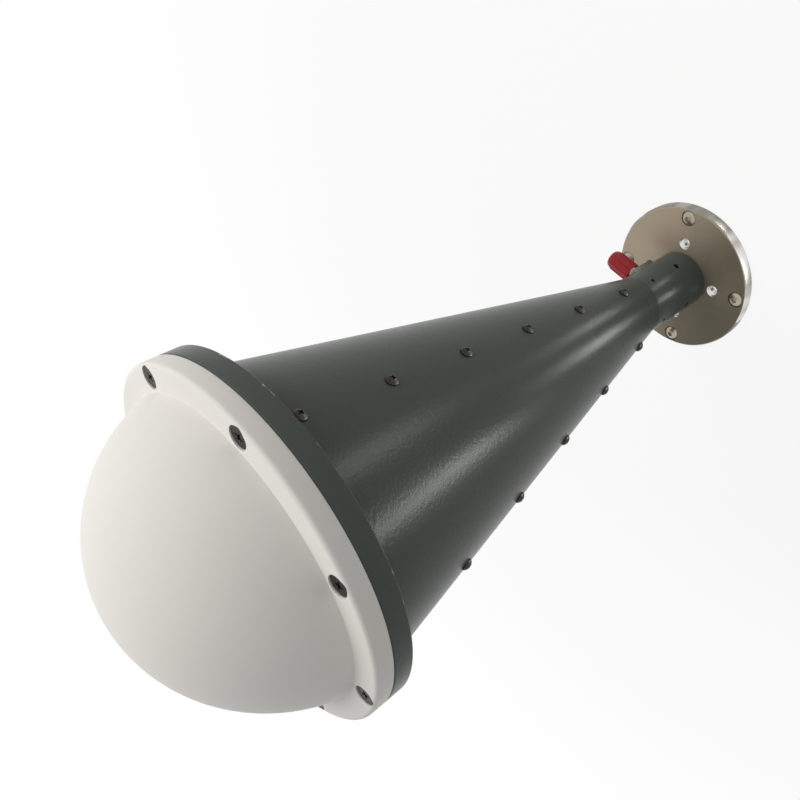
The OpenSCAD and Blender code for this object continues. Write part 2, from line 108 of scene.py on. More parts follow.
class HornSizes(bpy.types.PropertyGroup):
    """Sizes of the horn, its lens and its mounting flange."""

    flange_r: length("Radius of the mounting flange", FLANGE[1].x)
    flange_t: length("Thickness of the mounting flange", FLANGE[1].z)
    flange_chamfer: length("Chamfer round both edges of the mounting flange", 0.7 * MM)
    hole_circle_r: length("Radius of the circle of through holes", 15.5 * MM)
    hole_r: length("Radius of each through hole", 2.15 * MM)
    rim_screw_r: length("Radius of the circle of screws near the rim", 26 * MM)
    rim_seat_depth: length("Depth of the seats of the screws near the rim", 0.6 * MM)
    pattern_turn: angle("Angle of the holes and rim screws from the first feed", 19)
    pattern_count: count("Through holes, and screws near the rim", 4)
    pocket_depth: length("Depth of the pocket that the neck's plug stands in", 2.5 * MM)
    neck_r: length("Radius of the feed neck", -NECK[0].x)
    seam_z: length("Height of the seam between neck and cone", NECK[1].z)
    bore_r: length("Radius of the bore", 7.25 * MM)
    sleeve_z: length("Height at which the cone's sleeve begins", CONE[0].z)
    sleeve_r: length("Outer radius of the cone's sleeve", 9.15 * MM)
    cone_end_r: length("Outer radius of the cone at the aperture flange", 46.9 * MM)
    cone_wall: length("Thickness of the wall at the cone's wide end", 2.1 * MM)
    aperture_z: length("Height of the aperture flange's face", CONE[1].z)
    aperture_t: length("Thickness of the aperture flange", 5.9 * MM)
    rim_r: length("Radius of the aperture flange and the lens", CONE[1].x)
    rim_edge: length("Rounding of the aperture flange's edges", 0.5 * MM)
    ring_t: length("Thickness of the lens's ring", 5.95 * MM)
    ring_edge: length("Rounding of the ring's front edge", 1.3 * MM)
    land_w: length("Width of the flat ring round the dome", 7.5 * MM)
    lens_top: length("Height of the top of the dome", LENS[1].z)
    lens_low: length("Height at which the lens's step begins", LENS[0].z)
    neck_edge: length("Rounding of the edges at the seam and the foot", 0.3 * MM)


class FastenerSizes(bpy.types.PropertyGroup):
    """Sizes and places of the screws."""

    lens_screw_count: count("Number of screws in the lens", 8)
    lens_screw_inset: length("Distance from the rim to the lens screws", 3.65 * MM)
    lens_screw_sink: length("Depth of the lens screws' heads below the ring's face", 0.45 * MM)
    row_count: count("Number of screws along each ridge", 6)
    row_start: length("Distance from the seam to the first screw of a row", 15.9 * MM)
    row_end: length("Distance from the last screw of a row to the aperture flange", 4.5 * MM)
    ridge_lock_z: length("Height of the screws that lock the ridges", 16 * MM)
    cone_lock_z: length("Height of the screws that lock the cone", 32.3 * MM)
    lock_sink: length("Depth of the locking screws below the neck's surface", 0.5 * MM)
    slot_spread: angle("How far the recesses turn from one screw to the next", 80)
    seed: IntProperty(name="Seed", description="Seed of the recesses' turns", default=7)


class FeedSizes(bpy.types.PropertyGroup):
    """Sizes of the two coaxial connectors and their caps."""

    flange_w: length("Width of a connector's square flange", 12.7 * MM)
    flange_t: length("Thickness of a connector's flange", 1.6 * MM)
    hole_spacing: length("Distance between the holes of a connector's flange", 8.64 * MM)
    barrel_r: length("Outer radius of the threaded barrel", 3.175 * MM)
    barrel_len: length("Length of a connector's barrel", 9.5 * MM)
    root_len: length("Length of the barrel's plain root", 1.2 * MM)
    root_depth: length("Depth of the root below the thread", 0.5 * MM)
    thread_pitch: length("Distance from one turn of the thread to the next", 0.7056 * MM)
    thread_depth: length("Depth of a connector's thread", 0.4 * MM)
    insulator_r: length("Radius of the insulator in the barrel", 2.05 * MM)
    cap_wall_r: length("Outer radius of a cap between its ribs", 3.75 * MM)
    cap_bore_r: length("Inner radius of a cap", 3.225 * MM)
    cap_end_t: length("Thickness of a cap's end", 1.2 * MM)
    cap_edge_r: length("Radius of a cap's outer edge", 2.3 * MM)
    cap_rib_h: length("Height of the ribs on a cap", 0.43 * MM)
    cap_ribs: count("Number of ribs on a cap", 10)


class HornColours(bpy.types.PropertyGroup):
    """Colours of the finishes."""

    paint: colour("Paint of the cone and the neck", (0.085, 0.098, 0.089))
    paint_dust: colour("Colour of the paint where it is dusty", (0.13, 0.135, 0.125))
    flange_metal: colour("Dull metal of the mounting flange", (0.36, 0.30, 0.225))
    # Painted shade: the colour the flange darkens to on its −X side, for the horn's shadow and dull reflection
    # there.
    flange_painted_shade: colour("The flange where it has tarnished", (0.12, 0.105, 0.072))
    flange_pits: colour("Small pits in the flange", (0.10, 0.085, 0.07))
    # Painted reflections: the dark and bright colours of the bands round the flange's rim.
    rim_dark: colour("Dark streaks of the flange's rim", (0.24, 0.225, 0.185))
    rim_bright: colour("Bright streaks of the flange's rim", (0.76, 0.75, 0.71))
    hole_wall: colour("Freshly cut walls of the flange's holes", (0.92, 0.91, 0.88))
    # Also the colour of the painted highlight line along the aperture flange's back edge.
    bright_metal: colour("Bare metal of the ridges and of chipped edges", (0.62, 0.61, 0.59))
    screw_bright: colour("Steel of the bright screws", (0.47, 0.42, 0.33))
    screw_dark: colour("Steel of the dark screws", (0.045, 0.043, 0.040))
    screw_black: colour("Blackened steel of the locking screws", (0.02, 0.02, 0.02))
    lens: colour("White plastic of the lens", (0.80, 0.785, 0.755))
    lens_stain: colour("The lens where it has yellowed", (0.76, 0.72, 0.66))
    lens_dirt: colour("Specks of dirt on the lens", (0.42, 0.38, 0.32))
    insulator: colour("White plastic of the connectors' insulators", (0.84, 0.83, 0.80))
    gold: colour("Gold plating of the probes", (0.75, 0.55, 0.23))
    jack: colour("Passivated steel of the connectors", (0.22, 0.215, 0.17))
    cap: colour("Red plastic of the dust caps", (0.33, 0.004, 0.008))
    floor: colour("Colour of the floor", (0.56, 0.56, 0.55))


class StudioSettings(bpy.types.PropertyGroup):
    """Camera and light."""

    camera_at: vector("Where the camera stands", (-0.09029, -0.19498, 0.27306), "TRANSLATION")
    camera_aim: vector("Direction the camera looks in", (0.2764, 0.7591, -0.5894))
    camera_up: vector("Direction that is up in the picture", (0.6562, -0.5971, -0.4613))
    lens_mm: number("Focal length in millimetres", 36.1)
    shift: vector("Shift of the camera's lens", (-0.157, 0.049), "NONE")
    key_from: vector("Direction that the key light comes from", (0.68, -0.26, 0.84))
    key_distance: length("Distance of the key light and the fill light", 1.2)
    key_size: length("Width of the key light and the fill light", 0.9)
    key_power: number("Power of the key light", 10.2, "POWER")
    fill_from: vector("Direction that the fill light comes from", (-0.28, -0.70, 0.66))
    fill_power: number("Power of the fill light", 0.8, "POWER")
    strip_power: number("Power of the low strips, for each square metre", 125.0)
    sky: share("Light from all round", 0.39)
    floor_white: share("How far the floor fades into the background", 0.9)


def settings(name):
    return getattr(bpy.context.scene, "horn_" + name)


# ---------------------------------------------------------------- mesh tools

def arc(centre, radius, start, end, steps):
    """Points on an arc in the outline's plane, both ends included."""
    return [(centre[0] + radius * cos(start + (end - start) * i / steps),
             centre[1] + radius * sin(start + (end - start) * i / steps)) for i in range(steps + 1)]


def rounded(corners):
    """Outline of (radius, height) points from corners, each (radius, height) or (radius, height, rounding)."""
    points = []
    for i, corner in enumerate(corners):
        here = Vector(corner[:2])
        if len(corner) < 3:
            points.append(tuple(here))
            continue
        back = (Vector(corners[i - 1][:2]) - here).normalized()
        on = (Vector(corners[(i + 1) % len(corners)][:2]) - here).normalized()
        half = back.angle(on) / 2
        centre = here + (back + on).normalized() * (corner[2] / sin(half))
        reach = corner[2] / tan(half)
        first, last = here + back * reach, here + on * reach
        start = atan2(first.y - centre.y, first.x - centre.x)
        turn = atan2(last.y - centre.y, last.x - centre.x) - start
        turn = (turn + pi) % (2 * pi) - pi
        points += arc(centre, corner[2], start, start + turn, CORNER_STEPS)
    return points


def new_piece(name, mesh):
    piece = bpy.data.objects.new(name, mesh)
    bpy.context.scene.collection.objects.link(piece)
    return piece


def mesh_from(name, bm):
    bmesh.ops.remove_doubles(bm, verts=bm.verts, dist=1e-8)
    bmesh.ops.recalc_face_normals(bm, faces=bm.faces)
    mesh = bpy.data.meshes.new(name)
    bm.to_mesh(mesh)
    bm.free()
    return mesh


def ring(bm, steps, radius, z):
    """Points round the axis. The radius is a number, or a function of the point's place in the ring."""
    radii = [radius(i) if callable(radius) else radius for i in range(steps)]
    return [bm.verts.new((r * cos(2 * pi * i / steps), r * sin(2 * pi * i / steps), z))
            for i, r in enumerate(radii)]


def pole(bm, steps, z):
    """A ring whose points are all one point on the axis."""
    return [bm.verts.new((0, 0, z))] * steps


def skin(bm, rings):
    """Faces between each ring and the next."""
    for low, high in zip(rings, rings[1:]):
        for i in range(len(low)):
            j = (i + 1) % len(low)
            corners = list(dict.fromkeys((low[i], low[j], high[j], high[i])))
            if len(corners) > 2:
                bm.faces.new(corners)


def lathe(name, outline, steps=SEGMENTS):
    """Turns a closed outline of (radius, height) points about Z. Points on the axis become poles."""
    bm = bmesh.new()
    rings = [pole(bm, steps, z) if r < ON_AXIS else ring(bm, steps, r, z) for r, z in outline]
    skin(bm, rings + rings[:1])
    return mesh_from(name, bm)


def prism(name, outline, low, high, taper=1.0):
    """A flat outline of (x, y) points raised from low to high, its low end scaled by taper."""
    bm = bmesh.new()
    bottom = [bm.verts.new((x * taper, y * taper, low)) for x, y in outline]
    top = [bm.verts.new((x, y, high)) for x, y in outline]
    bm.faces.new(bottom[::-1])
    bm.faces.new(top)
    for i in range(len(outline)):
        j = (i + 1) % len(outline)
        bm.faces.new((bottom[i], bottom[j], top[j], top[i]))
    return mesh_from(name, bm)


def joined(name, meshes, places):
    """One mesh from several, each moved to its place."""
    bm = bmesh.new()
    for mesh, place in zip(meshes, places):
        part = mesh.copy()
        part.transform(place)
        bm.from_mesh(part)
        bpy.data.meshes.remove(part)
    mesh = bpy.data.meshes.new(name)
    bm.to_mesh(mesh)
    bm.free()
    return mesh


def bake(piece):
    """Turns a piece's modifiers into plain mesh."""
    graph = bpy.context.evaluated_depsgraph_get()
    mesh = bpy.data.meshes.new_from_object(piece.evaluated_get(graph))
    piece.modifiers.clear()
    old, piece.data = piece.data, mesh
    mesh.name = piece.name
    bpy.data.meshes.remove(old)


def carve(mesh, cutter):
    """The mesh with the cutter taken out of it."""
    piece, tool = new_piece(mesh.name, mesh), new_piece("tool", cutter)
    cut = piece.modifiers.new("cut", "BOOLEAN")
    cut.operation, cut.solver, cut.object = "DIFFERENCE", "EXACT", tool
    bake(piece)
    carved = piece.data
    bpy.data.objects.remove(piece)
    bpy.data.objects.remove(tool)
    bpy.data.meshes.remove(cutter)
    return carved


def drill(mesh, tool, places):
    """Cuts the tool out of the mesh at each place."""
    return carve(mesh, joined("holes", [tool] * len(places), places))


def shade(mesh, degrees=32):
    """Smooth shading, with sharp edges where faces meet at more than an angle."""
    mesh.shade_smooth()
    mesh.set_sharp_from_angle(angle=radians(degrees))


def shade_turned(mesh, outline, degrees=32):
    """Gives each face on the turned outline the outline's own normals, so that cuts leave no shadow."""
    shade(mesh, degrees)
    sideways, least_match, turned_cost = 0.02, 0.99, 100 * EXACT
    a = np.array(outline)
    b = np.roll(a, -1, axis=0)
    keep = np.linalg.norm(b - a, axis=1) > 1e-9
    a, b = a[keep], b[keep]
    run = b - a
    size = np.linalg.norm(run, axis=1)
    side = np.stack([run[:, 1], -run[:, 0]], 1) / size[:, None]
    before, after = np.roll(side, 1, axis=0), np.roll(side, -1, axis=0)
    limit = cos(radians(degrees))
    start = np.where(((side * before).sum(1) > limit)[:, None], side + before, side)
    end = np.where(((side * after).sum(1) > limit)[:, None], side + after, side)
    start /= np.linalg.norm(start, axis=1)[:, None]
    end /= np.linalg.norm(end, axis=1)[:, None]

    co = np.zeros(len(mesh.vertices) * 3)
    mesh.vertices.foreach_get("co", co)
    co = co.reshape(-1, 3)
    normals = np.zeros((len(mesh.loops), 3))
    for face in mesh.polygons:
        c, n = face.center, face.normal
        flat = hypot(c.x, c.y)
        out = Vector((c.x / flat, c.y / flat)) if flat > ON_AXIS else Vector((1, 0))
        if abs(n.x * -out.y + n.y * out.x) > sideways:
            continue
        corners = co[list(face.vertices)]
        radii = np.hypot(corners[:, 0], corners[:, 1])
        point = np.array([radii.mean(), corners[:, 2].mean()])
        facing = np.array([n.x * out.x + n.y * out.y, n.z])
        t = np.clip(((point - a) * run).sum(1) / size ** 2, 0, 1)
        away = np.linalg.norm(point - a - run * t[:, None], axis=1)
        match = side @ facing
        cost = away + (1 - np.abs(match)) * turned_cost
        k = int(cost.argmin())
        if away[k] > EXACT or abs(match[k]) < least_match:
            continue
        t = np.clip(((np.stack([radii, corners[:, 2]], 1) - a[k]) @ run[k]) / size[k] ** 2, 0, 1)[:, None]
        flat_n = (start[k] * (1 - t) + end[k] * t) * np.sign(match[k])
        where = np.where(radii[:, None] > ON_AXIS, corners[:, :2] / np.maximum(radii, ON_AXIS)[:, None],
                         (out.x, out.y))
        normals[list(face.loop_indices)] = np.concatenate([where * flat_n[:, :1], flat_n[:, 1:]], 1)
    mesh.normals_split_custom_set(normals.tolist())


def finish_piece(name, mesh, finish, node, slot, body="horn"):
    """Links a finished mesh as a piece of the object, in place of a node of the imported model."""
    mesh.materials.clear()
    mesh.materials.append(FINISHES[finish])
    piece = new_piece(name, mesh)
    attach(piece, body)
    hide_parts(node)
    return piece


def radial_place(turn, radius, z, tilt=pi / 2):
    """Turns a mesh that points up into one that points outwards at an angle round the axis."""
    return Matrix.Rotation(turn, 4, "Z") @ Matrix.Translation((radius, 0, z)) @ Matrix.Rotation(tilt, 4, "Y")


def feed_place(number):
    """Turns a mesh that points up into one that points out of a feed."""
    low, high = CAPS[number]
    return radial_place(radians(90 * (number - 1)), 0, (low.z + high.z) / 2)


# ---------------------------------------------------------------- node tools

class Value:
    """What a node gives. A sum, a product or the like of Values adds a Math node."""

    def __init__(self, socket):
        self.socket, self.tree = socket, socket.id_data

    def __add__(self, other):
        return calc("ADD", self, other)

    def __sub__(self, other):
        return calc("SUBTRACT", self, other)

    def __rsub__(self, other):
        return calc("SUBTRACT", other, self)

    def __mul__(self, other):
        return calc("MULTIPLY", self, other)

    def __truediv__(self, other):
        return calc("DIVIDE", self, other)

    def __lt__(self, other):
        return calc("LESS_THAN", self, other)


def put(value, socket):
    """Links a Value to a socket, or sets the socket."""
    if isinstance(value, Value):
        value.tree.links.new(value.socket, socket)
    else:
        socket.default_value = (*value, 1) if socket.type == "RGBA" else value


def add(tree, kind, settings=None, **inputs):
    """Adds a node and sets it. An input is named by i and its number, or by its name with _ for a space."""
    node = tree.nodes.new(kind)
    for key, value in (settings or {}).items():
        setattr(node, key, value)
    for key, value in inputs.items():
        put(value, node.inputs[int(key[1:]) if key[1:].isdigit() else key.replace("_", " ")])
    return node


def result(*where, **inputs):
    """The first output of a new node."""
    return Value(add(*where, **inputs).outputs[0])


def values(*where, **inputs):
    """All outputs of a new node."""
    return [Value(socket) for socket in add(*where, **inputs).outputs]


def calc(operation, *terms, clamp=False):
    """A Math node's result. At least one of its terms is a Value."""
    tree = next(term.tree for term in terms if isinstance(term, Value))
    return result(tree, "ShaderNodeMath", {"operation": operation, "use_clamp": clamp},
                 **{f"i{i}": term for i, term in enumerate(terms)})


def blend(factor, a, b):
    """A mix of two colours."""
    return values(factor.tree, "ShaderNodeMix", {"data_type": "RGBA"}, i0=factor, i6=a, i7=b)[2]


def ramp(value, low, high):
    """A smooth step from 0 at low to 1 at high."""
    return result(value.tree, "ShaderNodeMapRange", {"interpolation_type": "SMOOTHSTEP"}, Value=value,
                 From_Min=low, From_Max=high)


def object_point(tree):
    return Value(tree.nodes.new("ShaderNodeTexCoord").outputs["Object"])


def split(tree):
    """X, Y and Z from Object coordinates."""
    return values(tree, "ShaderNodeSeparateXYZ", Vector=object_point(tree))


def polar(tree):
    """Distance from the axis, height and angle round the axis, from Object coordinates."""
    x, y, z = split(tree)
    return calc("SQRT", x * x + y * y), z, calc("ARCTAN2", y, x)


def noise(tree, **inputs):
    """A noise texture over the piece, or along W."""
    if "W" in inputs:
        return result(tree, "ShaderNodeTexNoise", {"noise_dimensions": "1D"}, **inputs)
    if "Vector" not in inputs:
        inputs["Vector"] = object_point(tree)
    return result(tree, "ShaderNodeTexNoise", **inputs)


def new_group(name, output, **inputs):
    """A shader node group of plain numbers. Returns its tree, its inputs and the socket of its one output."""
    tree = bpy.data.node_groups.new(name, "ShaderNodeTree")
    for title, default in inputs.items():
        socket = tree.interface.new_socket(title, in_out="INPUT", socket_type="NodeSocketFloat")
        socket.default_value = default
    tree.interface.new_socket(output, in_out="OUTPUT", socket_type="NodeSocketFloat")
    given = tree.nodes.new("NodeGroupInput").outputs
    return tree, [Value(given[title]) for title in inputs], tree.nodes.new("NodeGroupOutput").inputs[output]


def use(tree, name, **inputs):
    """Places a node group in a material and returns what it gives."""
    return result(tree, "ShaderNodeGroup", {"node_tree": bpy.data.node_groups[name]}, **inputs)


def build_groups():
    """The effects that several finishes share."""
    tree, (scale, share_fine), out = new_group("Orange peel", "Height", Scale=900.0, Fine=0.3)
    point = result(tree, "ShaderNodeMapping", Vector=object_point(tree), Rotation=(0.5, 0.8, 0.3))
    fine = noise(tree, Vector=point, Scale=scale * 2.3, Detail=2.0)
    put(noise(tree, Vector=point, Scale=scale, Detail=1.0) + fine * share_fine, out)

    tree, (spacing, wander), out = new_group("Turned marks", "Height", Spacing=0.0004, Wander=1.0)
    radius, z, _ = polar(tree)
    way = (radius + z) / spacing
    phase = way * (2 * pi) + noise(tree, Scale=60.0, Detail=2.0) * wander
    put(calc("SINE", phase) * 0.25 + noise(tree, W=way * 0.37, Scale=1.0, Detail=3.0), out)

    tree, (rim_r, level, most, patch), out = new_group("Rim wear", "Mask", Radius=0.05, Level=0.2, Reach=0.0006,
                                                       Patch=0.6)
    radius, z, _ = polar(tree)
    across, along = radius - rim_r, z - level
    reach = most * ramp(noise(tree, Scale=110.0, Detail=2.0), patch, patch + 0.08)
    grain = noise(tree, Scale=1500.0, Detail=3.0)
    put(calc("SQRT", across * across + along * along) + (grain - 0.5) * 0.0007 < reach, out)

    tree, (scale, size, portion), out = new_group("Specks", "Mask", Scale=160.0, Size=0.08, Share=0.1)
    cells = add(tree, "ShaderNodeTexVoronoi", Vector=object_point(tree), Scale=scale).outputs
    pick, vary, _ = values(tree, "ShaderNodeSeparateColor", Color=Value(cells["Color"]))
    put((pick < portion) * (Value(cells["Distance"]) < size * (vary + 0.35)), out)

    tree, (scale, contrast), out = new_group("Handling marks", "Value", Scale=25.0, Contrast=1.0)
    cloud = noise(tree, Scale=scale, Detail=4.0, Roughness=0.6, Distortion=0.6)
    put(calc("ADD", 0.5, (cloud - 0.5) * contrast, clamp=True), out)


def new_material(name, **plain):
    """A material whose Principled BSDF has its plain sockets set. Returns it, its tree and the shader."""
    material = bpy.data.materials.new(name)
    material.use_nodes = True
    shader = material.node_tree.nodes["Principled BSDF"]
    for key, value in plain.items():
        shader.inputs[key.replace("_", " ")].default_value = value
    return material, material.node_tree, shader


def feed(shader, height, strength, distance, **sources):
    """Links Values to the shader's inputs, and a height to its normal through a Bump node."""
    for key, value in sources.items():
        put(value, shader.inputs[key.replace("_", " ")])
    put(result(height.tree, "ShaderNodeBump", Height=height, Strength=strength, Distance=distance),
        shader.inputs["Normal"])


def darker(tone, factor):
    return tuple(factor * c for c in tone)


def grey_paint():
    """Satin paint with a fine orange peel, a little dust and a few chipped spots on the aperture flange's edges;
    the light line on its back edge is partly wear and partly a painted highlight.
    """
    tone, sizes = settings("colours"), settings("sizes")
    material, tree, shader = new_material("grey_paint_finish", IOR=1.5, Specular_IOR_Level=0.07)
    clouds = use(tree, "Handling marks", Scale=18.0, Contrast=0.9)
    dust = use(tree, "Specks", Scale=420.0, Size=0.16, Share=0.02)
    front = use(tree, "Rim wear", Radius=sizes.rim_r, Level=sizes.aperture_z, Reach=0.0009, Patch=0.66)
    # The back edge's mask is partly worn chips and partly a painted highlight line along the flange's back
    # chamfer.
    back = use(tree, "Rim wear", Radius=sizes.rim_r, Level=sizes.aperture_z - sizes.aperture_t, Reach=0.0006,
               Patch=0.56)
    wear_and_edge_highlight = calc("MAXIMUM", front, back)
    base = blend(clouds * 0.2, tone.paint, tone.paint_dust)
    base = blend(dust * 0.35, base, tone.paint_dust)
    # Bare metal where the paint is worn, and the painted highlight on the back edge.
    base = blend(wear_and_edge_highlight * 0.7, base, tone.bright_metal)
    peel = use(tree, "Orange peel", Scale=950.0, Fine=0.4)
    feed(shader, peel - wear_and_edge_highlight * 0.7, 0.35, 0.00012, Base_Color=base, Roughness=clouds * 0.08 + 0.24)
    return material


def flange_metal():
    """Dull turned metal, with painted shade on one side and painted dark and bright reflections in bands round its
    rim.
    """
    tone, sizes = settings("colours"), settings("sizes")
    material, tree, shader = new_material("flange_metal_finish")
    radius, _, turn = polar(tree)
    x, y, _ = split(tree)
    clouds = use(tree, "Handling marks", Scale=32.0, Contrast=1.5)
    marks = use(tree, "Turned marks", Spacing=0.00032, Wander=1.2)
    # Painted shade: darker towards −X (and a little towards +Y), where the horn's shadow and a dull reflection
    # fall; noise breaks its edge.
    painted_shade = ramp(clouds * 0.02 - (x + y * -0.25), -0.012, 0.036)
    pits = use(tree, "Specks", Scale=300.0, Size=0.14, Share=0.05)
    base = blend(painted_shade, tone.flange_metal, tone.flange_painted_shade)
    base = blend(pits * 0.35, base, tone.flange_pits)
    rim = ramp(radius, sizes.flange_r - sizes.flange_chamfer * 0.8, sizes.flange_r - sizes.flange_chamfer * 0.3)
    # Painted reflection: dark and bright bands round the rim, from noise along the angle round the axis.
    streak = noise(tree, W=calc("MULTIPLY_ADD", turn, 1.3, 4.4), Scale=1.0, Detail=2.5, Roughness=0.6)
    wall = blend(ramp(streak, 0.42, 0.64), tone.rim_dark, tone.rim_bright)
    feed(shader, marks - pits, 0.16, 0.00006, Base_Color=blend(rim, base, wall), Roughness=clouds * 0.16 + 0.34,
         Metallic=rim * 0.4 + 0.5)
    return material


def plain_metal(name, tone, roughness, marks=None):
    """Bare metal with fine grain, or with tool marks where a spacing is given."""
    material, tree, shader = new_material(name)
    clouds = use(tree, "Handling marks", Scale=140.0, Contrast=1.2)
    height = use(tree, "Turned marks", Spacing=marks, Wander=0.6) if marks else \
        use(tree, "Orange peel", Scale=2200.0, Fine=0.6)
    feed(shader, height, 0.12, 0.00005, Base_Color=blend(clouds * 0.5, tone, darker(tone, 0.6)),
         Roughness=clouds * 0.15 + roughness, Metallic=1.0 - clouds * 0.08)
    return material


def lens_plastic():
    """Matte white plastic with faint lathe rings, a little yellowed, with a few dark specks."""
    tone = settings("colours")
    material, tree, shader = new_material("lens_plastic_finish", IOR=1.38, Specular_IOR_Level=0.2)
    clouds = use(tree, "Handling marks", Scale=14.0, Contrast=1.3)
    rings = use(tree, "Turned marks", Spacing=0.00045, Wander=0.8)
    dirt = use(tree, "Specks", Scale=110.0, Size=0.05, Share=0.05)
    base = blend(clouds * 0.55, tone.lens, tone.lens_stain)
    feed(shader, rings, 0.10, 0.00004, Base_Color=blend(dirt * 0.5, base, tone.lens_dirt),
         Roughness=clouds * 0.14 + 0.38)
    return material


def insulator_plastic():
    """White plastic of the connectors' insulators, with fine cutter rings."""
    tone = settings("colours")
    material, tree, shader = new_material("insulator_finish", IOR=1.38)
    clouds = use(tree, "Handling marks", Scale=200.0, Contrast=1.0)
    rings = use(tree, "Turned marks", Spacing=0.00015, Wander=0.5)
    feed(shader, rings, 0.1, 0.00003, Base_Color=blend(clouds * 0.4, tone.insulator, tone.lens_stain),
         Roughness=clouds * 0.1 + 0.35)
    return material


def cap_plastic():
    """Glossy soft red plastic."""
    tone = settings("colours")
    material, tree, shader = new_material("cap_finish", IOR=1.5, Specular_IOR_Level=0.25, Coat_Weight=0.15,
                                          Coat_Roughness=0.15)
    clouds = use(tree, "Handling marks", Scale=260.0, Contrast=1.3)
    peel = use(tree, "Orange peel", Scale=1600.0, Fine=0.2)
    feed(shader, peel, 0.12, 0.00008, Base_Color=blend(clouds * 0.6, tone.cap, darker(tone.cap, 0.55)),
         Roughness=clouds * 0.12 + 0.2)
    return material


def build_materials():
    """Every finish, by name."""
    tone = settings("colours")
    return {
        "paint": grey_paint(),
        "flange": flange_metal(),
        "bare": plain_metal("bare_metal_finish", tone.bright_metal, 0.26, 0.0003),
        "bright": plain_metal("bright_screw_finish", tone.screw_bright, 0.3),
        "dark": plain_metal("dark_screw_finish", tone.screw_dark, 0.34),
        "black": plain_metal("black_screw_finish", tone.screw_black, 0.42),
        "gold": plain_metal("gold_finish", tone.gold, 0.24),
        "jack": plain_metal("connector_finish", tone.jack, 0.32),
        "drilled": plain_metal("drilled_finish", tone.hole_wall, 0.12, 0.0004),
        "lens": lens_plastic(),
        "insulator": insulator_plastic(),
        "cap": cap_plastic(),
    }


FINISHES = {}


# ---------------------------------------------------------------- fasteners

def build_fastener_tree():
    """Geometry nodes that set a screw out in columns round the axis and levels along it."""
    tree = bpy.data.node_groups.new("Fastener pattern", "GeometryNodeTree")
    kinds = {"Geometry": "Geometry", "Columns": "Int", "Levels": "Int", "Seed": "Int", "Column Turn": "Float",
             "Radius": "Float", "Radius Step": "Float", "Height": "Float", "Height Step": "Float",
             "Turn": "Float", "Tilt": "Float", "Spread": "Float", "Material": "Material"}
    for title, kind in kinds.items():
        tree.interface.new_socket(title, in_out="INPUT", socket_type="NodeSocket" + kind)
    tree.interface.new_socket("Geometry", in_out="OUTPUT", socket_type="NodeSocketGeometry")
    sockets = tree.nodes.new("NodeGroupInput").outputs
    given = {title: Value(sockets[title]) for title in kinds}
    index = result(tree, "GeometryNodeInputIndex")
    column, level = calc("FLOOR", index / given["Levels"]), calc("FLOORED_MODULO", index, given["Levels"])
    turn = calc("MULTIPLY_ADD", column, given["Column Turn"], given["Turn"])
    radius = calc("MULTIPLY_ADD", level, given["Radius Step"], given["Radius"])
    height = calc("MULTIPLY_ADD", level, given["Height Step"], given["Height"])
    place = result(tree, "ShaderNodeCombineXYZ", X=radius * calc("COSINE", turn), Y=radius * calc("SINE", turn),
                  Z=height)
    points = result(tree, "GeometryNodePoints", Count=given["Columns"] * given["Levels"], Position=place)
    stand = result(tree, "FunctionNodeEulerToRotation",
                  Euler=result(tree, "ShaderNodeCombineXYZ", Y=given["Tilt"], Z=turn))
    roll = values(tree, "FunctionNodeRandomValue", {"data_type": "FLOAT"}, ID=index, Seed=given["Seed"],
                  i2=given["Spread"] * -0.5, i3=given["Spread"] * 0.5)[1]
    rolled = result(tree, "FunctionNodeEulerToRotation", Euler=result(tree, "ShaderNodeCombineXYZ", Z=roll))
    both = result(tree, "FunctionNodeRotateRotation", {"rotation_space": "LOCAL"}, Rotation=stand,
                 Rotate_By=rolled)
    copies = result(tree, "GeometryNodeInstanceOnPoints", Points=points, Instance=given["Geometry"],
                   Rotation=both)
    solid = result(tree, "GeometryNodeRealizeInstances", Geometry=copies)
    put(result(tree, "GeometryNodeSetMaterial", Geometry=solid, Material=given["Material"]),
        tree.nodes.new("NodeGroupOutput").inputs["Geometry"])
    return tree


def set_out(name, mesh, finish, **inputs):
    """One mesh of copies of a screw, set out by the fastener tree."""
    tree = bpy.data.node_groups.get("Fastener pattern") or build_fastener_tree()
    piece = new_piece(name, mesh)
    pattern = piece.modifiers.new("pattern", "NODES")
    pattern.node_group = tree
    screws = settings("fasteners")
    given = {"Columns": 1, "Levels": 1, "Material": FINISHES[finish], "Seed": screws.seed,
             "Spread": screws.slot_spread, **inputs}
    for item in tree.interface.items_tree:
        title = item.name.replace(" ", "_")
        if item.in_out == "INPUT" and title in given:
            pattern[item.identifier] = given[title]
    bake(piece)
    made = piece.data
    bpy.data.objects.remove(piece)
    return made


def recess(mesh, d, depth, top):
    """Cuts a cross recess, narrower as it goes down, into a screw whose head's top is at that height."""
    narrow, wide = d * 0.13, d * 0.54
    tools = [prism("bar", [(-x, -y), (x, -y), (x, y), (-x, y)], -depth, depth, 0.62)
             for x, y in ((wide, narrow), (narrow, wide))]
    tools.append(lathe("point", [(0, -depth * 1.15), (d * 0.2, -depth * 0.4), (d * 0.2, depth * 0.6),
                                 (0, depth * 0.6)], FINE // 2))
    for tool in tools:
        mesh = drill(mesh, tool, [Matrix.Translation((0, 0, top))])
    return mesh


def hexagon(width):
    r = width / 2 / cos(radians(30))
    return [(r * cos(radians(60 * i)), r * sin(radians(60 * i))) for i in range(6)]


def countersunk_screw(d, long, ratio=1.97):
    """Its top is at z = 0 and it points down."""
    head, flat = d * ratio / 2, d * 0.08
    mesh = lathe("screw", rounded([(0, -long), (d / 2, -long, d * 0.08), (d / 2, -flat - head + d / 2),
                                   (head, -flat), (head, 0, d * 0.03), (0, 0)]), FINE)
    mesh = recess(mesh, d, d * 0.42, 0)
    shade(mesh)
    return mesh


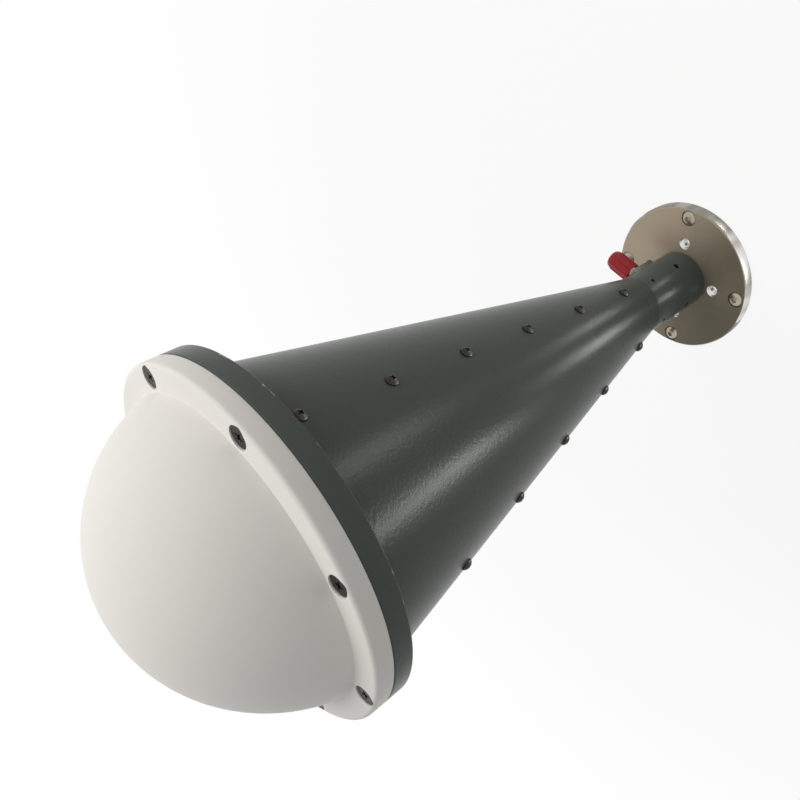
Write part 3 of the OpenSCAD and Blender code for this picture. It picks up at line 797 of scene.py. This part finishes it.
def domed_screw(d, long, height, edge, steps, ratio=1.9):
    """A shank with a domed head, whose underside is at z = 0."""
    head = d * ratio / 2
    crown = (head ** 2 + height ** 2) / (2 * height) * 1.15
    top = arc((0, height - crown), crown, asin(sqrt(crown ** 2 - head ** 2) / crown), pi / 2, steps)
    shank = rounded([(0, -long), (d / 2, -long, d * 0.08), (d / 2, 0), (head, 0, d * edge)])
    return lathe("screw", shank + top, FINE)


def pan_screw(d, long, height):
    """A domed head with a cross recess."""
    mesh = recess(domed_screw(d, long, height, 0.04, 8), d, height * 0.6, height)
    shade(mesh)
    return mesh


def button_screw(d, long, height):
    """A domed head with a hexagon socket."""
    mesh = domed_screw(d, long, height, 0.05, 10)
    mesh = carve(mesh, prism("socket", hexagon(d * 0.67), height * 0.35, height * 2))
    shade(mesh)
    return mesh


def grub_screw(d, long):
    """Its outer end is at z = 0."""
    mesh = lathe("screw", rounded([(0, -long), (d / 2, -long, d * 0.1), (d / 2, 0, d * 0.08), (0, 0)]), FINE)
    mesh = carve(mesh, prism("socket", hexagon(d * 0.5), -long / 2, long))
    shade(mesh)
    return mesh


def hole_tool(radius, low, high, flare=0.0, spread=0.0):
    """A round cutter; its mouth at the height 'flare' widens by 'spread'."""
    outline = [(0, low), (radius, low)]
    if spread:
        outline += [(radius, flare - spread), (radius + spread + high - flare, high)]
    else:
        outline += [(radius, high)]
    return lathe("hole", outline + [(0, high)], FINE)


def tapped_tool(radius, low, high, groove, pitch, turns):
    """A round cutter with grooves in its lower end, like a tapped hole's, and a chamfer at its mouth."""
    edge = 0.18 * MM
    outline = [(0, low - MM), (radius + groove, low - MM), (radius + groove, low)]
    for i in range(turns):
        outline += [(radius, low + (i + 0.5) * pitch), (radius + groove, low + (i + 1) * pitch)]
    outline += [(radius, low + (turns + 0.5) * pitch), (radius, high - edge), (radius + edge + MM, high + MM),
                (0, high + MM)]
    return lathe("tapped", outline, FINE)


def cone_radius(sizes, z):
    """Outer radius of the cone at a height."""
    share_up = (z - sizes.seam_z) / (sizes.aperture_z - sizes.aperture_t - sizes.seam_z)
    return sizes.neck_r + (sizes.cone_end_r - sizes.neck_r) * share_up


def row_places(sizes, screws):
    """Height, radius and tilt of each screw in a row along the cone."""
    end = sizes.aperture_z - sizes.aperture_t
    pitch = (end - sizes.seam_z - screws.row_start - screws.row_end) / (screws.row_count - 1)
    tilt = pi / 2 + atan((sizes.cone_end_r - sizes.neck_r) / (end - sizes.seam_z))
    first = sizes.seam_z + screws.row_start
    return first, pitch, tilt


# ---------------------------------------------------------------- pieces

class HORN_OT_mounting_flange(bpy.types.Operator):
    """Turns the mounting flange and drills it"""

    bl_idname = "horn.mounting_flange"
    bl_label = "Mounting flange"

    def execute(self, context):
        s = settings("sizes")
        c, soft, pocket_z = s.flange_chamfer, 0.16 * MM, s.flange_t - s.pocket_depth
        groove, groove_pitch, grooves = 0.35 * MM, 0.8 * MM, 4
        seat_r, seat_edge, tapping_r = 3.1 * MM, 0.08 * MM, 1.53 * MM
        head_r, clear_r, head_z = 2.6 * MM, 1.4 * MM, 0.2 * MM
        outline = rounded([(0, 0), (s.flange_r - c, 0, soft), (s.flange_r, c, soft),
                           (s.flange_r, s.flange_t - c, soft), (s.flange_r - c, s.flange_t, soft),
                           (s.bore_r, s.flange_t), (s.bore_r, pocket_z), (0, pocket_z)])
        turns = [s.pattern_turn + i * 2 * pi / s.pattern_count for i in range(s.pattern_count)]
        through = [radial_place(turn, s.hole_circle_r, 0, 0) for turn in turns]
        near_rim = [radial_place(turn, s.rim_screw_r, 0, 0) for turn in turns]
        under_neck = [radial_place(radians(45 + 90 * i), (s.neck_r + s.bore_r) / 2, 0, 0) for i in range(4)]
        head_seat = lathe("seat", [(0, -MM), (head_r, -MM), (head_r, head_z),
                                   (clear_r, head_z + head_r - clear_r), (clear_r, s.flange_t + MM),
                                   (0, s.flange_t + MM)], FINE)
        mesh = lathe("mounting_flange", outline)
        for tool, places in ((tapped_tool(s.hole_r, 0, s.flange_t, groove, groove_pitch, grooves), through),
                             (hole_tool(seat_r, s.flange_t - s.rim_seat_depth, s.flange_t + MM, s.flange_t,
                                        seat_edge), near_rim),
                             (hole_tool(tapping_r, -MM, s.flange_t), near_rim), (head_seat, under_neck)):
            mesh = drill(mesh, tool, places)
        shade_turned(mesh, outline)
        flange = finish_piece("mounting_flange", mesh, "flange", "rear_flange", "machined_aluminium")
        flange.data.materials.append(FINISHES["drilled"])
        axes = [place.translation for place in through]
        for face in flange.data.polygons:
            at = face.center
            if min(hypot(at.x - axis.x, at.y - axis.y) for axis in axes) < s.hole_r + groove + 0.01 * MM \
                    and 0.02 * MM < at.z < s.flange_t - 0.01 * MM:
                face.material_index = 1
        return {"FINISHED"}


class HORN_OT_feed_neck(bpy.types.Operator):
    """Turns the feed neck, with a flat for each connector and holes for its locking screws"""

    bl_idname = "horn.feed_neck"
    bl_label = "Feed neck"

    def execute(self, context):
        s, f, j = settings("sizes"), settings("fasteners"), settings("feeds")
        inner = s.sleeve_r + GAP
        outline = rounded([(s.bore_r, s.flange_t), (s.neck_r, s.flange_t, s.neck_edge),
                           (s.neck_r, s.seam_z, s.neck_edge), (inner, s.seam_z), (inner, s.sleeve_z),
                           (s.bore_r, s.sleeve_z)])
        mesh = lathe("feed_neck", outline)
        flat, half = sqrt(s.neck_r ** 2 - (j.flange_w / 2) ** 2), j.flange_w / 2 + GAP
        probe_hole_r, ridge_lock_r, cone_lock_r, far = 1.05 * MM, 1.28 * MM, 0.83 * MM, s.neck_r * 1.5
        seat = prism("flat", [(-half, -s.neck_r), (half, -s.neck_r), (half, s.neck_r), (-half, s.neck_r)],
                     flat, flat + s.neck_r)
        for number in (1, 2):
            for tool in (seat, hole_tool(probe_hole_r, 0, s.neck_r)):
                mesh = drill(mesh, tool, [feed_place(number)])
        ridge_lock = hole_tool(ridge_lock_r, 0, far, s.neck_r, 0.1 * MM)
        cone_lock = hole_tool(cone_lock_r, 0, far, s.neck_r, 0.08 * MM)
        for tool, z, turns in ((ridge_lock, f.ridge_lock_z, (180, 270)),
                               (cone_lock, f.cone_lock_z, (0, 90, 180, 270))):
            for turn in turns:
                mesh = drill(mesh, tool, [radial_place(radians(turn), 0, z)])
        shade_turned(mesh, outline)
        finish_piece("feed_neck", mesh, "paint", "launcher_body", "grey_paint")
        return {"FINISHED"}


class HORN_OT_cone(bpy.types.Operator):
    """Turns the cone with its sleeve and aperture flange, and cuts the seats of its four rows of screws"""

    bl_idname = "horn.cone"
    bl_label = "Cone"

    def execute(self, context):
        s, f = settings("sizes"), settings("fasteners")
        end = s.aperture_z - s.aperture_t
        slope = (s.cone_end_r - s.cone_wall - s.bore_r) / (end - s.seam_z)
        inner = s.bore_r + slope * (s.aperture_z - s.seam_z)
        soft = 0.2 * MM
        outline = rounded([(s.bore_r, s.sleeve_z), (s.sleeve_r, s.sleeve_z, soft), (s.sleeve_r, s.seam_z),
                           (s.neck_r, s.seam_z, s.neck_edge), (s.cone_end_r, end, 0.5 * MM),
                           (s.rim_r, end, s.rim_edge), (s.rim_r, s.aperture_z, s.rim_edge),
                           (inner, s.aperture_z, soft), (s.bore_r, s.seam_z)])
        mesh = lathe("horn_cone", outline)
        first, pitch, tilt = row_places(s, f)
        seat_r = 2.03 * MM
        places = []
        for turn in range(4):
            for i in range(f.row_count):
                z = first + i * pitch
                r = cone_radius(s, z)
                sag = r - sqrt(r ** 2 - seat_r ** 2)
                places.append(radial_place(radians(90 * turn), r, z, tilt)
                              @ Matrix.Translation((0, 0, -sag)))
        seat = lathe("seat", [(0, 0), (seat_r, 0), (seat_r, 2 * MM), (0, 2 * MM)], FINE)
        mesh = drill(mesh, seat, places)
        shade_turned(mesh, outline)
        finish_piece("horn_cone", mesh, "paint", "cone", "grey_paint")
        return {"FINISHED"}


class HORN_OT_lens(bpy.types.Operator):
    """Turns the lens: a step that centres it, a ring with screw seats, and the dome"""

    bl_idname = "horn.lens"
    bl_label = "Lens"

    def execute(self, context):
        s, f = settings("sizes"), settings("fasteners")
        end = s.aperture_z - s.aperture_t
        slope = (s.cone_end_r - s.cone_wall - s.bore_r) / (end - s.seam_z)
        step_r = s.bore_r + slope * (s.lens_low - s.seam_z) - 0.2 * MM
        ring_z = s.aperture_z + s.ring_t
        base_r = s.rim_r - s.land_w
        height = s.lens_top - ring_z
        dome_r = (height ** 2 + base_r ** 2) / (2 * height)
        centre = s.lens_top - dome_r
        start = asin((ring_z - centre) / dome_r)
        dome = arc((0, centre), dome_r, start, pi / 2, DOME_STEPS)
        dome[-1] = (0.0, s.lens_top)
        outline = rounded([(0, s.lens_low), (step_r, s.lens_low, 0.2 * MM), (step_r, s.aperture_z),
                           (s.rim_r, s.aperture_z, s.rim_edge), (s.rim_r, ring_z, s.ring_edge)]) + dome
        mesh = lathe("lens_turned", outline)
        head, shank, deep, gap = M3 * 1.97 / 2 + 0.125 * MM, 1.63 * MM, 12 * MM, 0.26 * MM
        seat = lathe("seat", [(0, -deep), (shank, -deep), (shank, -gap - head + shank), (head, -gap),
                              (head, 2 * MM), (0, 2 * MM)], FINE)
        mesh = drill(mesh, seat, [radial_place(i * 2 * pi / f.lens_screw_count, s.rim_r - f.lens_screw_inset,
                                               ring_z - f.lens_screw_sink, 0)
                                  for i in range(f.lens_screw_count)])
        shade_turned(mesh, outline)
        finish_piece("lens_turned", mesh, "lens", "lens", "white_lens")
        return {"FINISHED"}


class HORN_OT_fasteners(bpy.types.Operator):
    """Sets out the screws of the lens, the ridges, the neck and the mounting flange"""

    bl_idname = "horn.fasteners"
    bl_label = "Screws"

    def execute(self, context):
        s, f = settings("sizes"), settings("fasteners")
        quarter = pi / 2
        first, pitch, tilt = row_places(s, f)
        sink = 0.09 * MM
        groups = (
            ("lens_screw_set", countersunk_screw(M3, 10 * MM), "dark", "lens_screws", "dark_steel",
             dict(Columns=f.lens_screw_count, Column_Turn=2 * pi / f.lens_screw_count,
                  Radius=s.rim_r - f.lens_screw_inset, Height=s.aperture_z + s.ring_t - f.lens_screw_sink)),
            ("ridge_screw_set", pan_screw(M2, 7 * MM, 1.4 * MM), "dark", "ridge_screws", "dark_steel",
             dict(Columns=4, Levels=f.row_count, Column_Turn=quarter, Radius=cone_radius(s, first) - sink,
                  Radius_Step=cone_radius(s, first + pitch) - cone_radius(s, first), Height=first,
                  Height_Step=pitch, Tilt=tilt)),
            ("rim_screw_set", button_screw(M3, 4.9 * MM, 1.65 * MM), "bright", "flange_screws", "bright_steel",
             dict(Columns=s.pattern_count, Column_Turn=2 * pi / s.pattern_count, Radius=s.rim_screw_r,
                  Height=s.flange_t - s.rim_seat_depth, Turn=s.pattern_turn)),
            ("neck_screw_set", countersunk_screw(M2_5, 10 * MM), "dark", "neck_screws", "dark_steel",
             dict(Columns=4, Column_Turn=quarter, Radius=(s.neck_r + s.bore_r) / 2, Turn=quarter / 2,
                  Tilt=pi)),
            ("ridge_lock_set", grub_screw(M2_5, 3.7 * MM), "black", "ridge_lock_screws", "black_steel",
             dict(Columns=2, Column_Turn=quarter, Radius=s.neck_r - f.lock_sink, Height=f.ridge_lock_z,
                  Turn=pi, Tilt=quarter)),
            ("cone_lock_set", grub_screw(1.6 * MM, 1.78 * MM), "black", "cone_lock_screws", "black_steel",
             dict(Columns=4, Column_Turn=quarter, Radius=s.neck_r - f.lock_sink, Height=f.cone_lock_z,
                  Tilt=quarter)),
        )
        for name, screw, finish, node, slot, pattern in groups:
            finish_piece(name, set_out(name, screw, finish, **pattern), finish, node, slot)
        return {"FINISHED"}


class HORN_OT_inner_parts(bpy.types.Operator):
    """Dresses the ridges, the plug behind them and the feeds' inner parts"""

    bl_idname = "horn.inner_parts"
    bl_label = "Ridges and inner parts"

    def execute(self, context):
        finishes = {"back_short": "bare"}
        for number in (1, 2):
            finishes.update({f"feed_ridge_{number}": "bare", f"counter_ridge_{number}": "bare",
                             f"jack_insulator_{number}": "insulator", f"probe_pin_{number}": "gold"})
        for node, finish in finishes.items():
            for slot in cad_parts[node].material_slots:
                slot.material = FINISHES[finish]
        return {"FINISHED"}


def threaded_barrel(j, base, face):
    """A connector's barrel: plain root, then a thread up to its mouth. The bore goes right through."""
    mouth, start = face + j.barrel_len, face + j.root_len
    root_r, low_r = j.barrel_r - j.root_depth, j.barrel_r - j.thread_depth
    rows = int((mouth - start) / j.thread_pitch * ROWS_PER_TURN)
    bm = bmesh.new()
    rings = [ring(bm, FINE, r, z) for r, z in ((j.insulator_r, base), (root_r, base), (root_r, start))]
    for k in range(rows + 1):
        z = start + (mouth - start) * k / rows
        fade = max(0.0, min(1.0, (z - start) / (0.5 * MM), (mouth - z) / (0.35 * MM)))

        def radius(i):
            wave = ((z - start) / j.thread_pitch - i / FINE) % 1.0
            return low_r + j.thread_depth * max(0.0, 1 - abs(wave - 0.5) * 2.4 + 0.15) ** 0.9 / 1.15 * fade

        rings.append(ring(bm, FINE, radius, z))
    rings.append(ring(bm, FINE, j.insulator_r + 0.35 * MM, mouth))
    rings.append(ring(bm, FINE, j.insulator_r, mouth - 0.3 * MM))
    skin(bm, rings + rings[:1])
    return mesh_from("barrel", bm)


def connector_plate(j, base):
    """A connector's square flange, its corners softened, with its bore and screw holes."""
    half, corner = j.flange_w / 2, 0.5 * MM
    outline = []
    for x, y, start in ((1, 1, 0), (-1, 1, 90), (-1, -1, 180), (1, -1, 270)):
        outline += arc((x * (half - corner), y * (half - corner)), corner, radians(start),
                       radians(start + 90), 4)
    plate = prism("plate", outline, base, base + j.flange_t)
    tools = [hole_tool(j.insulator_r, base - MM, base + 3 * MM)]
    tools += [hole_tool(1.1 * MM, base - MM, base + 3 * MM, base + j.flange_t, 0.12 * MM)] * 4
    places = [Matrix.Identity(4)] + [Matrix.Translation((x * j.hole_spacing / 2, y * j.hole_spacing / 2, 0))
                                     for x in (-1, 1) for y in (-1, 1)]
    plate = carve(plate, joined("holes", tools, places))
    piece = new_piece("plate", plate)
    soft = piece.modifiers.new("soft", "BEVEL")
    soft.width, soft.segments, soft.limit_method, soft.angle_limit = 0.1 * MM, 2, "ANGLE", radians(50)
    bake(piece)
    made = piece.data
    bpy.data.objects.remove(piece)
    return made


class HORN_OT_connectors(bpy.types.Operator):
    """Builds the two coaxial connectors with their threads, and their screws"""

    bl_idname = "horn.connectors"
    bl_label = "Connectors"

    def execute(self, context):
        s, f, j = settings("sizes"), settings("fasteners"), settings("feeds")
        base = sqrt(s.neck_r ** 2 - (j.flange_w / 2) ** 2)
        face = base + j.flange_t
        for number in (1, 2):
            place = feed_place(number)
            body = joined("jack", [connector_plate(j, base), threaded_barrel(j, base, face)], [place, place])
            shade(body, 40)
            finish_piece(f"jack_{number}", body, "jack", f"jack_body_{number}", "jack_metal")
            name = f"jack_screw_set_{number}"
            screws = set_out(name, pan_screw(M2, 4.2 * MM, 1.19 * MM), "bright", Columns=4, Height=face,
                             Column_Turn=pi / 2, Turn=pi / 4, Radius=j.hole_spacing / sqrt(2),
                             Seed=f.seed + number)
            screws.transform(place)
            finish_piece(name, screws, "bright", f"jack_screws_{number}", "bright_steel")
        return {"FINISHED"}


def ribbed_cap(name, j, mouth, tip):
    """A soft cap whose ribs rise from its mouth and run out before its rounded end. The cavity is round."""
    bm = bmesh.new()
    lip, edge, first, steps = 0.12 * MM, j.cap_edge_r, mouth + 0.3 * MM, 14

    def rib(i):
        wave = (i / CAP_STEPS * j.cap_ribs) % 1.0
        away = min(wave, 1 - wave) / j.cap_ribs * 2 * pi * j.cap_wall_r
        return max(0.0, 1 - (away / (0.55 * MM)) ** 2) ** 0.8

    wall = [(j.cap_bore_r, tip - j.cap_end_t, 0), (j.cap_bore_r, mouth + lip, 0),
            (j.cap_bore_r + lip, mouth, 0), (j.cap_wall_r - 0.15 * MM, mouth, 0),
            (j.cap_wall_r, mouth + lip, 0.6 * j.cap_rib_h)]
    for k in range(1, steps):
        z = first + (tip - edge - first) * k / steps
        run_out = min(1.0, max(0.0, (tip - edge * 0.7 - z) / (1.6 * MM)))
        wall.append((j.cap_wall_r, z, j.cap_rib_h * run_out))
    wall += [(r, z, 0) for r, z in arc((j.cap_wall_r - edge, tip - edge), edge, 0, pi / 2, 8)]
    wall.append((j.cap_wall_r * 0.35, tip, 0))
    rings = [ring(bm, CAP_STEPS, lambda i: r + lift * rib(i), z) for r, z, lift in wall]
    skin(bm, [pole(bm, CAP_STEPS, tip - j.cap_end_t), *rings, pole(bm, CAP_STEPS, tip)])
    mesh = mesh_from(name, bm)
    shade(mesh, 40)
    return mesh


class HORN_OT_caps(bpy.types.Operator):
    """Moulds the two ribbed dust caps"""

    bl_idname = "horn.caps"
    bl_label = "Dust caps"

    def execute(self, context):
        j = settings("feeds")
        low, high = CAPS[1]
        for number in (1, 2):
            mesh = ribbed_cap(f"red_cap_{number}", j, low.x, high.x)
            mesh.transform(feed_place(number))
            finish_piece(f"red_cap_{number}", mesh, "cap", f"dust_cap_{number}", "red_cap", f"cap_{number}")
        return {"FINISHED"}


# ---------------------------------------------------------------- studio

def seen(tree):
    """1 for rays that show the background: from the camera, off gloss and through glass."""
    light = tree.nodes.new("ShaderNodeLightPath").outputs
    camera, gloss, glass = (Value(light[f"Is {kind} Ray"])
                            for kind in ("Camera", "Glossy", "Transmission"))
    return calc("MAXIMUM", camera, calc("MAXIMUM", gloss, glass))


def area_light(name, at, aim, width, depth, power, tone):
    data = bpy.data.lights.new(name, "AREA")
    data.shape, data.size, data.size_y, data.energy, data.color = "RECTANGLE", width, depth, power, tone
    lamp = bpy.data.objects.new(name, data)
    lamp.location = at
    lamp.rotation_mode = "QUATERNION"
    lamp.rotation_quaternion = Vector(aim).to_track_quat("-Z", "Y")
    bpy.context.scene.collection.objects.link(lamp)
    return lamp


class HORN_OT_studio(bpy.types.Operator):
    """Lays a pale floor, hangs soft lights and sets the camera"""

    bl_idname = "horn.studio"
    bl_label = "Studio"

    def execute(self, context):
        scene, look, tone = context.scene, settings("studio"), settings("colours")
        scene.view_settings.view_transform = "Standard"

        bm = bmesh.new()
        bmesh.ops.create_grid(bm, x_segments=8, y_segments=8, size=40.0)
        bmesh.ops.translate(bm, verts=bm.verts, vec=(0, 0, -0.0002))
        floor_mesh = bpy.data.meshes.new("floor")
        bm.to_mesh(floor_mesh)
        bm.free()
        floor = new_piece("floor", floor_mesh)
        material = bpy.data.materials.new("floor_finish")
        material.use_nodes = True
        tree = material.node_tree
        tree.nodes.clear()
        matte = result(tree, "ShaderNodeBsdfDiffuse", Color=tone.floor)
        pale = result(tree, "ShaderNodeEmission", Color=(1, 1, 1), Strength=1.0)
        white = result(tree, "ShaderNodeMapRange", Value=polar(tree)[0], From_Min=0.12, From_Max=0.5,
                      To_Min=look.floor_white, To_Max=1.0)
        put(result(tree, "ShaderNodeMixShader", i0=seen(tree) * white, i1=matte, i2=pale),
            tree.nodes.new("ShaderNodeOutputMaterial").inputs["Surface"])
        floor_mesh.materials.append(material)

        world = bpy.data.worlds.new("studio")
        scene.world = world
        world.use_nodes = True
        tree = world.node_tree
        tree.nodes.clear()
        level = seen(tree) * (1 - look.sky) + look.sky
        put(result(tree, "ShaderNodeBackground", Color=(1, 1, 1), Strength=level),
            tree.nodes.new("ShaderNodeOutputWorld").inputs["Surface"])

        middle = Vector((0, 0, 0.15))
        away = Vector(look.key_from).normalized()
        front = Vector(look.fill_from).normalized()
        for name, way, power, tint in (("key", away, look.key_power, (1.0, 0.985, 0.96)),
                                       ("fill", front, look.fill_power, (1.0, 0.99, 0.97))):
            lamp = area_light(name, middle + way * look.key_distance, -way, look.key_size, look.key_size, power,
                              tint)
            lamp.visible_glossy = False
        for name, start, end, depth, part in (("cone strip", (-0.098, -0.046), (-0.212, -0.094), 0.022, 1.0),
                                              ("side strip", (-0.024, -0.130), (-0.064, -0.212), 0.034, 0.36),
                                              ("neck glint", (-0.027, -0.024), (-0.042, -0.030), 0.009, 0.7),
                                              ("neck side glint", (-0.002, -0.036), (-0.009, -0.047), 0.009, 0.4)):
            start, end = Vector((*start, 0.001)), Vector((*end, 0.001))
            width = (end - start).length
            strip = area_light(name, (start + end) / 2, (0, 0, 1), width, depth,
                               look.strip_power * width * depth * part, (1.0, 1.0, 1.0))
            turn = Matrix.Rotation(atan2(end.y - start.y, end.x - start.x), 4, "Z")
            strip.rotation_quaternion = (turn @ Matrix.Rotation(pi, 4, "X")).to_quaternion()
            strip.visible_camera = strip.visible_diffuse = False

        data = bpy.data.cameras.new("camera")
        camera = bpy.data.objects.new("camera", data)
        scene.collection.objects.link(camera)
        aim, up = Vector(look.camera_aim).normalized(), Vector(look.camera_up).normalized()
        right = aim.cross(up)
        turn = Matrix((right, up, -aim)).transposed().to_4x4()
        camera.matrix_world = Matrix.Translation(look.camera_at) @ turn
        data.sensor_width, data.lens = 36.0, look.lens_mm
        data.shift_x, data.shift_y = look.shift
        data.clip_start, data.clip_end = 0.01, 50
        scene.camera = camera
        return {"FINISHED"}


# ---------------------------------------------------------------- panel and running order

ORDER = (HORN_OT_mounting_flange, HORN_OT_feed_neck, HORN_OT_cone, HORN_OT_lens, HORN_OT_fasteners,
         HORN_OT_inner_parts, HORN_OT_connectors, HORN_OT_caps, HORN_OT_studio)


class HORN_PT_panel(bpy.types.Panel):
    """Lists the pieces of the horn antenna"""

    bl_idname = "HORN_PT_panel"
    bl_label = "Horn antenna"
    bl_space_type = "VIEW_3D"
    bl_region_type = "UI"
    bl_category = "Horn antenna"

    def draw(self, context):
        column = self.layout.column(align=True)
        for operator in ORDER:
            column.operator(operator.bl_idname)


GROUPS = {"sizes": HornSizes, "fasteners": FastenerSizes, "feeds": FeedSizes, "colours": HornColours,
          "studio": StudioSettings}
CLASSES = (*GROUPS.values(), *ORDER, HORN_PT_panel)


def register():
    for cls in CLASSES:
        bpy.utils.register_class(cls)
    for name, group in GROUPS.items():
        setattr(bpy.types.Scene, "horn_" + name, PointerProperty(type=group))


def unregister():
    for name in GROUPS:
        delattr(bpy.types.Scene, "horn_" + name)
    for cls in reversed(CLASSES):
        bpy.utils.unregister_class(cls)


def main():
    """Builds every piece and the studio."""
    register()
    for leftover in ("Cube", "Light", "Camera"):
        if leftover in bpy.data.objects:
            bpy.data.objects.remove(bpy.data.objects[leftover])
    build_groups()
    FINISHES.update(build_materials())
    for operator in ORDER:
        area, name = operator.bl_idname.split(".")
        getattr(getattr(bpy.ops, area), name)()


if __name__ == "__main__":
    main()
